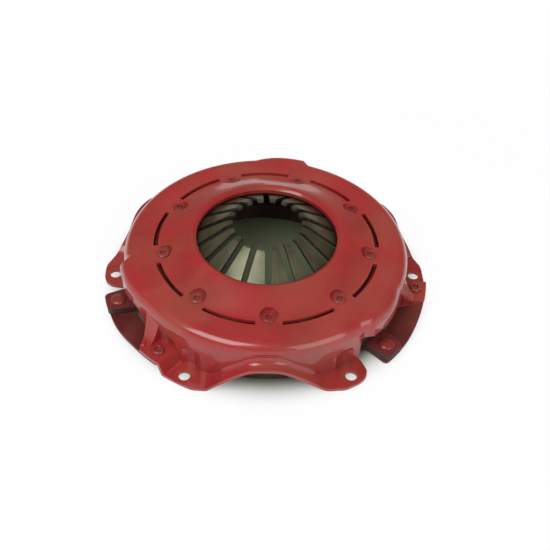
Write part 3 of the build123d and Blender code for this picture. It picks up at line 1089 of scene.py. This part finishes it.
@dataclass
class Rivets:
    """All rivets, each row in place of its CAD node."""

    wardrobe: Wardrobe
    row: RivetRow
    shoulder: RivetPlan = RivetPlan(
        name="cover_rivets", node="shoulder_rivets", body=COVER_BODY,
        count=9, circle_r=97.8, azimuth=0.0,
        shape=RivetShape(
            head_r=6.2, head_h=1.7, shank_r=3.9, seat_z=46.2, end_z=30.7, tail_r=8.0, tail_h=3.0,
            crater_r=2.8, crater_depth=2.4,
        ),
    )
    pad: RivetPlan = RivetPlan(
        name="pad_rivets", node="strap_cover_rivets", body=COVER_BODY,
        count=SECTORS, circle_r=144.8, azimuth=-41.7,
        shape=RivetShape(
            head_r=5.9, head_h=3.0, shank_r=3.9, seat_z=14.4, end_z=8.5, tail_r=6.4, tail_h=1.5,
            crater_r=2.8, crater_depth=2.4,
        ),
    )
    lug: RivetPlan = RivetPlan(
        name="lug_rivets", node="strap_lug_rivets", body=PLATE_BODY,
        count=SECTORS, circle_r=144.8, azimuth=47.6,
        shape=RivetShape(
            head_r=7.2, head_h=3.1, shank_r=3.9, seat_z=11.6, end_z=1.9, tail_r=6.4, tail_h=1.5,
        ),
    )

    def build(self) -> None:
        """Makes the three rows."""
        for plan in (self.shoulder, self.pad, self.lug):
            piece = self.row.make(plan, self.wardrobe.get(Slot.PAINTED_RIVET))
            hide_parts(plan.node)
            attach(piece, plan.body)
            LOG.info("%s: %d", plan.name, plan.count)


@dataclass(frozen=True)
class Lamp:
    """A soft box that points at the middle of the part."""

    name: str
    place: tuple[float, float, float]
    size: float
    power: float
    mirrored: bool = True

    def light(self) -> None:
        """Sets the lamp up."""
        data = bpy.data.lights.new(self.name, "AREA")
        data.size = self.size
        data.energy = self.power
        lamp = linked(self.name, data)
        lamp.location = self.place
        lamp.visible_glossy = self.mirrored
        lamp.rotation_mode = "QUATERNION"
        lamp.rotation_quaternion = (-Vector(self.place)).to_track_quat("-Z", "Y")


@dataclass
class Studio:
    """Floor, lights, world and camera."""

    floor_half: float = 3.0
    floor_z: float = -0.3 * MM
    floor_colour: Colour = (0.9, 0.9, 0.9)
    # Darker olive middle of the floor under the part: painted shade, seen through the hole in the
    # cover.
    painted_shade_colour: Colour = (0.165, 0.185, 0.115)
    painted_shade_r: Limits = (0.125, 0.165)
    shadow_share: float = 0.08
    horizon_r: Limits = (0.3, 0.7)
    ambient: Colour = (0.42, 0.42, 0.42)
    ceiling: Limits = (0.1, 0.55)
    rear: Limits = (-0.1, 0.5)
    dim: Colour = (0.27, 0.17, 0.12)
    white: Colour = (1.0, 1.0, 1.0)
    lamps: tuple[Lamp, ...] = (
        Lamp("key", (-0.5, -0.5, 1.1), 0.7, 9.0),
        Lamp("fill", (0.7, -0.9, 0.75), 0.8, 5.0),
        Lamp("back", (0.1, 1.0, 0.9), 0.8, 3.8, mirrored=False),
    )
    frame_px: float = 550.0
    focal_px: float = 843.898
    sensor: float = 36.0
    camera_angles: tuple[float, float, float] = (-3.418, 44.382, 2.762)
    camera_distance: float = 0.828859
    camera_aside: float = 0.009365
    camera_lift: float = 0.002773

    def build(self) -> None:
        """Makes everything round the object."""
        self.floor()
        self.world()
        for lamp in self.lamps:
            lamp.light()
        self.camera()
        bpy.context.scene.view_settings.view_transform = "Standard"

    def floor(self) -> None:
        """White floor that keeps the shadow, with a painted shade in the middle under the part,
        seen through the hole.
        """
        mesh = bpy.data.meshes.new("floor")
        h = self.floor_half
        mesh.from_pydata([(-h, -h, 0), (h, -h, 0), (h, h, 0), (-h, h, 0)], [], [(0, 1, 2, 3)])
        mesh.transform(Matrix.Translation((0, 0, self.floor_z)))
        made = bpy.data.materials.new("floor")
        made.use_nodes = True
        graph = Graph(made.node_tree)
        length = graph.add("ShaderNodeVectorMath", {0: graph.place()}, operation="LENGTH")
        flat = length.outputs["Value"]
        # Painted shade in the middle, white floor colour beyond.
        away = graph.ramp(flat, *self.painted_shade_r)
        colour = graph.mix(away, self.painted_shade_colour, self.floor_colour)
        matt = graph.add("ShaderNodeBsdfDiffuse", {"Color": colour})
        glow = graph.add("ShaderNodeEmission", {"Color": (*self.white, 1), "Strength": 1.0})
        path = graph.add("ShaderNodeLightPath")
        seen = graph.math("MAXIMUM", path.outputs["Is Camera Ray"], path.outputs["Is Glossy Ray"])
        beyond = graph.ramp(flat, *self.horizon_r)
        share = graph.math("MULTIPLY", beyond, self.shadow_share)
        share = graph.math("ADD", share, 1 - self.shadow_share)
        lift = graph.math("MULTIPLY", graph.math("MULTIPLY", seen, away), share)
        both = graph.add("ShaderNodeMixShader", {0: lift, 1: matt.outputs[0], 2: glow.outputs[0]})
        out = graph.add("ShaderNodeOutputMaterial")
        made.node_tree.links.new(both.outputs[0], out.inputs[0])
        mesh.materials.append(made)
        linked("floor", mesh)

    def world(self) -> None:
        """White to the eye, plain grey as light, and a room to mirrors.

        The mirrored room is white at the front horizon, and dim above and behind.
        """
        world = bpy.data.worlds.new("studio")
        bpy.context.scene.world = world
        world.use_nodes = True
        graph = Graph(world.node_tree)
        path = graph.add("ShaderNodeLightPath").outputs
        seen = graph.math("MAXIMUM", path["Is Camera Ray"], path["Is Transmission Ray"])
        way = graph.parts(graph.add("ShaderNodeTexCoord").outputs["Generated"])
        low = graph.math("SUBTRACT", 1.0, graph.ramp(way[2], *self.ceiling))
        front = graph.math("SUBTRACT", 1.0, graph.ramp(way[1], *self.rear))
        mirrored = graph.mix(graph.math("MULTIPLY", low, front), self.dim, self.white)
        unseen = graph.mix(path["Is Glossy Ray"], self.ambient, mirrored)
        colour = graph.mix(seen, unseen, self.white)
        background = graph.add("ShaderNodeBackground", {"Color": colour})
        out = graph.add("ShaderNodeOutputWorld")
        world.node_tree.links.new(background.outputs[0], out.inputs[0])

    def camera(self) -> None:
        """Camera at the photograph's angle, found by fitting the bolt circle and the rim."""
        azimuth, elevation, roll = (math.radians(a) for a in self.camera_angles)
        back = polar(math.cos(elevation), math.degrees(azimuth), math.sin(elevation))
        right = Vector((math.cos(azimuth), math.sin(azimuth), 0))
        up = back.cross(right)
        across = right * math.cos(roll) + up * math.sin(roll)
        upright = up * math.cos(roll) - right * math.sin(roll)
        data = bpy.data.cameras.new("camera")
        data.sensor_width = self.sensor
        data.lens = self.focal_px / self.frame_px * self.sensor
        data.clip_start = 0.01
        camera = linked("camera", data)
        centre = right * self.camera_aside + Vector((0, 0, self.camera_lift))
        axes = Matrix((across, upright, back)).transposed().to_4x4()
        camera.matrix_world = Matrix.Translation(centre + back * self.camera_distance) @ axes
        bpy.context.scene.camera = camera


def main() -> None:
    """Loads the frame, dresses every piece and sets the studio."""
    logging.basicConfig(level=logging.INFO, format="%(name)s: %(message)s")
    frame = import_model()
    nodes = frame["nodes"]
    wardrobe = Wardrobe()
    Cover(wardrobe).build(nodes)
    Diaphragm(wardrobe).build(nodes)
    Casting(wardrobe).build(nodes)
    Straps(wardrobe).build(nodes)
    Rivets(wardrobe, RivetRow()).build()
    Studio().build()


if __name__ == "__main__":
    main()
